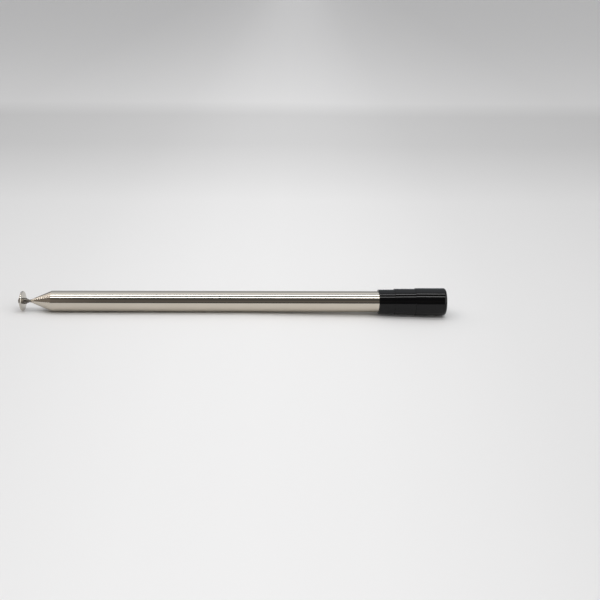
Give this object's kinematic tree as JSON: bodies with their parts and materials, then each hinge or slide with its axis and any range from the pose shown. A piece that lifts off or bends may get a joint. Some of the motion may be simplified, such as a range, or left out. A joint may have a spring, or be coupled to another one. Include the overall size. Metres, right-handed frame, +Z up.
{
  "type": "telescopic antenna",
  "caption": "Pull-out whip antenna of nested polished steel tubes with a tip button, a black stepped sleeve and a threaded base.",
  "frame": {"origin": "centre of the mouth of the threaded hole in the base plug's end face", "axes": "X along the antenna, base face towards +X and tip button towards -X, as it lies collapsed; +Z up"},
  "size_m": [0.2672, 0.017, 0.017],
  "materials": {
    "stainless_tube": "drawn and polished stainless steel",
    "shrink_tubing": "glossy black heat-shrink tubing",
    "nickel_plate": "turned brass, bright nickel plate",
    "brass_foot": "turned brass",
    "bronze_collar": "rolled phosphor-bronze strip"
  },
  "bodies": {
    "base": {"base_plug": "nickel_plate", "sleeve_inner": "shrink_tubing", "sleeve_middle": "shrink_tubing", "sleeve_outer": "shrink_tubing", "tube_1": "stainless_tube"},
    "section_2": {"tube_2": "stainless_tube", "bush_2": "brass_foot", "collar_2": "bronze_collar"},
    "section_3": {"tube_3": "stainless_tube", "bush_3": "brass_foot", "collar_3": "bronze_collar"},
    "section_4": {"tube_4": "stainless_tube", "bush_4": "brass_foot", "collar_4": "bronze_collar"},
    "section_5": {"tube_5": "stainless_tube", "bush_5": "brass_foot", "collar_5": "bronze_collar"},
    "section_6": {"tube_6": "stainless_tube", "bush_6": "brass_foot", "collar_6": "bronze_collar"},
    "section_7": {"tube_7": "stainless_tube", "bush_7": "brass_foot", "collar_7": "bronze_collar"},
    "section_8": {"tube_8": "stainless_tube", "bush_8": "brass_foot", "collar_8": "bronze_collar"},
    "section_9": {"tube_9": "stainless_tube", "bush_9": "brass_foot", "collar_9": "bronze_collar"},
    "tip": {"tip_rod": "stainless_tube", "rod_foot": "brass_foot", "rod_collar": "bronze_collar", "tip_button": "nickel_plate"}
  },
  "joints": [
    {"name": "section_2_slide", "type": "slide", "parent": "base", "child": "section_2", "axis": [-1, 0, 0], "range_m": [0, 0.22635]},
    {"name": "section_3_slide", "type": "slide", "parent": "section_2", "child": "section_3", "axis": [-1, 0, 0], "range_m": [0, 0.22215]},
    {"name": "section_4_slide", "type": "slide", "parent": "section_3", "child": "section_4", "axis": [-1, 0, 0], "range_m": [0, 0.21795]},
    {"name": "section_5_slide", "type": "slide", "parent": "section_4", "child": "section_5", "axis": [-1, 0, 0], "range_m": [0, 0.21375]},
    {"name": "section_6_slide", "type": "slide", "parent": "section_5", "child": "section_6", "axis": [-1, 0, 0], "range_m": [0, 0.20955]},
    {"name": "section_7_slide", "type": "slide", "parent": "section_6", "child": "section_7", "axis": [-1, 0, 0], "range_m": [0, 0.20535]},
    {"name": "section_8_slide", "type": "slide", "parent": "section_7", "child": "section_8", "axis": [-1, 0, 0], "range_m": [0, 0.20115]},
    {"name": "section_9_slide", "type": "slide", "parent": "section_8", "child": "section_9", "axis": [-1, 0, 0], "range_m": [0, 0.19695]},
    {"name": "tip_slide", "type": "slide", "parent": "section_9", "child": "tip", "axis": [-1, 0, 0], "range_m": [0, 0.19275]}
  ]
}
